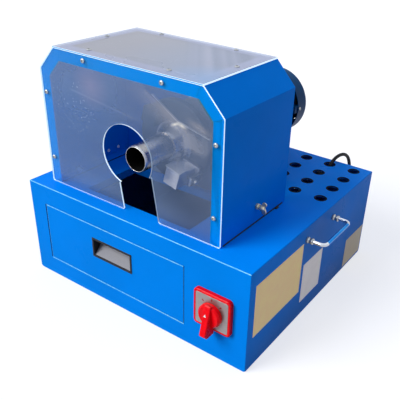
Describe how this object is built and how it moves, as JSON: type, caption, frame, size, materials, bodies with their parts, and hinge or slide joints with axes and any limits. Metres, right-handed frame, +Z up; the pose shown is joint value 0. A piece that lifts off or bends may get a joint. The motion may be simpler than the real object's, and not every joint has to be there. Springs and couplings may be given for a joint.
{
  "type": "hose skiving machine",
  "caption": "Bench hose skiving machine: chip drawer cabinet, geared mandrel head with a radial knife, rear flange motor and a hinged hood with clear plates.",
  "frame": {"origin": "centre of the cabinet's underside", "axes": "+Z up, -Y towards the operator's front, +X to the operator's right"},
  "size_m": [0.599, 0.6432, 0.472],
  "materials": {
    "cabinet_blue": "gloss powder coat",
    "hood_blue": "gloss powder coat",
    "clear_plate": "clear, scratched",
    "zinc_sheet": "zinc plated",
    "machined_steel": "turned and milled",
    "handle_chrome": "plated",
    "case_grey": "painted casting",
    "motor_teal": "satin enamel",
    "switch_red": "gloss",
    "switch_black": "matt",
    "pull_black": "fine grain",
    "pull_grey": "satin",
    "cable_black": "satin"
  },
  "bodies": {
    "cabinet": {"deck_plate": "cabinet_blue", "front_panel": "cabinet_blue", "left_side_panel": "cabinet_blue", "right_side_panel": "cabinet_blue", "rear_panel": "cabinet_blue", "bottom_plate": "cabinet_blue", "left_runner": "zinc_sheet", "right_runner": "zinc_sheet", "switch_bezel": "switch_red", "switch_body": "switch_black", "right_handle": "handle_chrome", "left_handle": "handle_chrome", "gear_case": "case_grey", "case_cover": "case_grey", "front_bearing": "machined_steel", "rear_bearing": "machined_steel", "motor_flange": "motor_teal", "motor_stator": "motor_teal", "fan_cowl": "motor_teal", "terminal_box": "motor_teal", "deck_hinge_front": "zinc_sheet", "deck_hinge_rear": "zinc_sheet", "latch_tab": "cabinet_blue", "mains_cable": "cable_black", "cable_coil": "cable_black", "mains_plug": "cable_black", "cable_clamp": "zinc_sheet"},
    "drawer": {"drawer_front": "cabinet_blue", "drawer_tray": "cabinet_blue", "pull_frame": "pull_black", "pull_pan": "pull_grey"},
    "switch_lever": {"switch_knob": "switch_red", "switch_stem": "switch_black"},
    "spindle": {"spindle_shaft": "machined_steel", "spindle_gear": "machined_steel", "face_plate": "machined_steel", "mandrel_collar": "machined_steel", "mandrel": "machined_steel", "knife_guide": "machined_steel", "balance_weight": "machined_steel"},
    "tool_arm": {"knife_arm": "machined_steel", "knife": "machined_steel"},
    "tool_screw": {"adjusting_screw": "machined_steel"},
    "rotor": {"rotor_shaft": "machined_steel", "motor_pinion": "machined_steel", "motor_fan": "switch_black"},
    "hood": {"hood_left_wall": "hood_blue", "hood_right_wall": "hood_blue", "hood_front_frame": "hood_blue", "hood_rear_frame": "hood_blue", "front_window": "clear_plate", "top_window": "clear_plate", "hood_hinge_front": "zinc_sheet", "hood_hinge_rear": "zinc_sheet"},
    "latch_screw": {"wing_screw": "handle_chrome"}
  },
  "joints": [
    {"name": "drawer_slide", "type": "slide", "parent": "cabinet", "child": "drawer", "axis": [0, -1, 0], "range_m": [0, 0.3]},
    {"name": "switch_turn", "type": "hinge", "parent": "cabinet", "child": "switch_lever", "pos_m": [0.1925, -0.25, 0.099], "axis": [0, -1, 0], "range_deg": [-45, 45]},
    {"name": "spindle_spin", "type": "hinge", "parent": "cabinet", "child": "spindle", "pos_m": [-0.0213, -0.06, 0.299], "axis": [0, -1, 0], "continuous": true},
    {"name": "rotor_spin", "type": "hinge", "parent": "cabinet", "child": "rotor", "pos_m": [0.02639, 0.1, 0.31973], "axis": [0, -1, 0], "continuous": true},
    {"name": "tool_screw_turn", "type": "hinge", "parent": "spindle", "child": "tool_screw", "pos_m": [0.0461, -0.1075, 0.24621], "axis": [0.9641, 0, -0.2656], "range_deg": [-1460, 1100]},
    {"name": "tool_slide", "type": "slide", "parent": "spindle", "child": "tool_arm", "axis": [0.9641, 0, -0.2656], "range_m": [-0.006, 0.008]},
    {"name": "hood_hinge", "type": "hinge", "parent": "cabinet", "child": "hood", "pos_m": [-0.2275, -0.105, 0.208], "axis": [0, -1, 0], "range_deg": [0, 90]},
    {"name": "latch_screw_turn", "type": "hinge", "parent": "hood", "child": "latch_screw", "pos_m": [0.17925, -0.102, 0.238], "axis": [1, 0, 0], "range_deg": [0, 720]}
  ],
  "couplings": [
    {"joint": "rotor_spin", "follows": "spindle_spin", "ratio": -2.0588},
    {"joint": "tool_screw_turn", "follows": "tool_slide", "rad_per_m": -3141.6}
  ]
}
